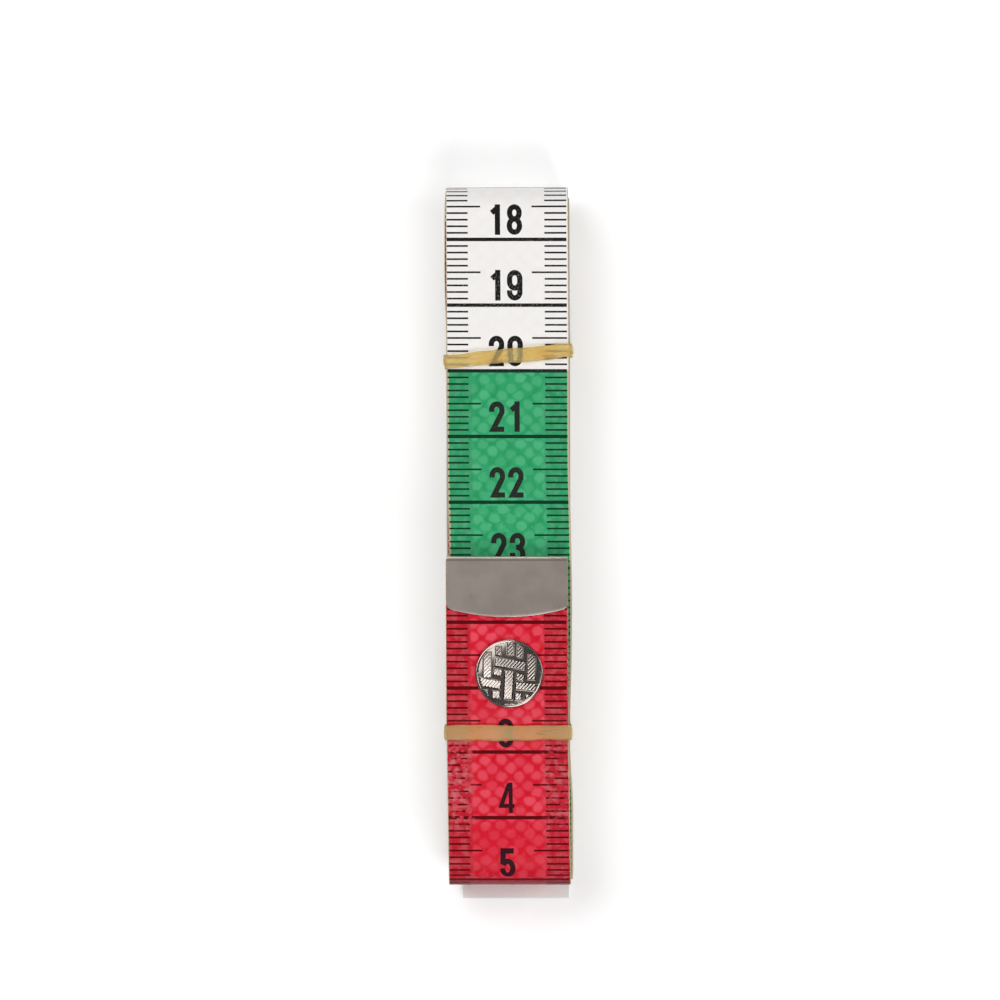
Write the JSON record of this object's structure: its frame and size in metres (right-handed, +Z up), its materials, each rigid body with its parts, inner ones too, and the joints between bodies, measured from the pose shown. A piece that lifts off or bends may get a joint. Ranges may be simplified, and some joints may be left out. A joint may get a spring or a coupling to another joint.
{
  "type": "cloth tape measure",
  "caption": "Coated cloth tape measure wound flat into a long bundle, its zero end folded over and held by a snap button, with metal end caps and rubber bands.",
  "frame": {"origin": "on the floor under the middle of the bounding box, the bundle lying on its back on its two rubber bands", "axes": "+Z up through the winding's layers towards the snap button, +Y along the bundle away from the folded zero end's bend, +X across the tape's width"},
  "size_m": [0.0206, 0.1086, 0.0169],
  "materials": {
    "tape_white": "satin coated cloth",
    "tape_red": "satin coated cloth",
    "cap_nickel": "satin nickel",
    "snap_nickel": "nickel",
    "spring_steel": "bright wire",
    "band_rubber": "translucent crepe rubber",
    "strip_card": "matt white card"
  },
  "bodies": {
    "winding": {"tape_winding": "tape_white", "end_cap_inner": "cap_nickel", "snap_stud": "snap_nickel", "stud_eyelet": "snap_nickel"},
    "button_flap": {"tape_button_zone": "tape_red", "snap_cap": "snap_nickel", "snap_prong_ring": "snap_nickel", "snap_socket": "snap_nickel", "socket_spring": "spring_steel"},
    "tip": {"tape_tip": "tape_red", "end_cap_outer": "cap_nickel"},
    "band_upper": {"rubber_band_upper": "band_rubber"},
    "band_lower": {"rubber_band_lower": "band_rubber"},
    "strip": {"backing_strip": "strip_card"}
  },
  "joints": [
    {"name": "flap_lift", "type": "hinge", "parent": "winding", "child": "button_flap", "pos_m": [0, -0.0271, 0.01495], "axis": [1, 0, 0], "range_deg": [0, 90]},
    {"name": "tip_curl", "type": "hinge", "parent": "button_flap", "child": "tip", "pos_m": [0, -0.01298, 0.01561], "axis": [1, 0, 0], "range_deg": [0, 60]},
    {"name": "upper_band_slide", "type": "slide", "parent": "winding", "child": "band_upper", "axis": [0, 1, 0], "range_m": [-0.005, 0.03]},
    {"name": "lower_band_slide", "type": "slide", "parent": "winding", "child": "band_lower", "axis": [0, -1, 0], "range_m": [0, 0.03]},
    {"name": "strip_draw", "type": "slide", "parent": "winding", "child": "strip", "axis": [0, -1, 0], "range_m": [0, 0.08]}
  ]
}
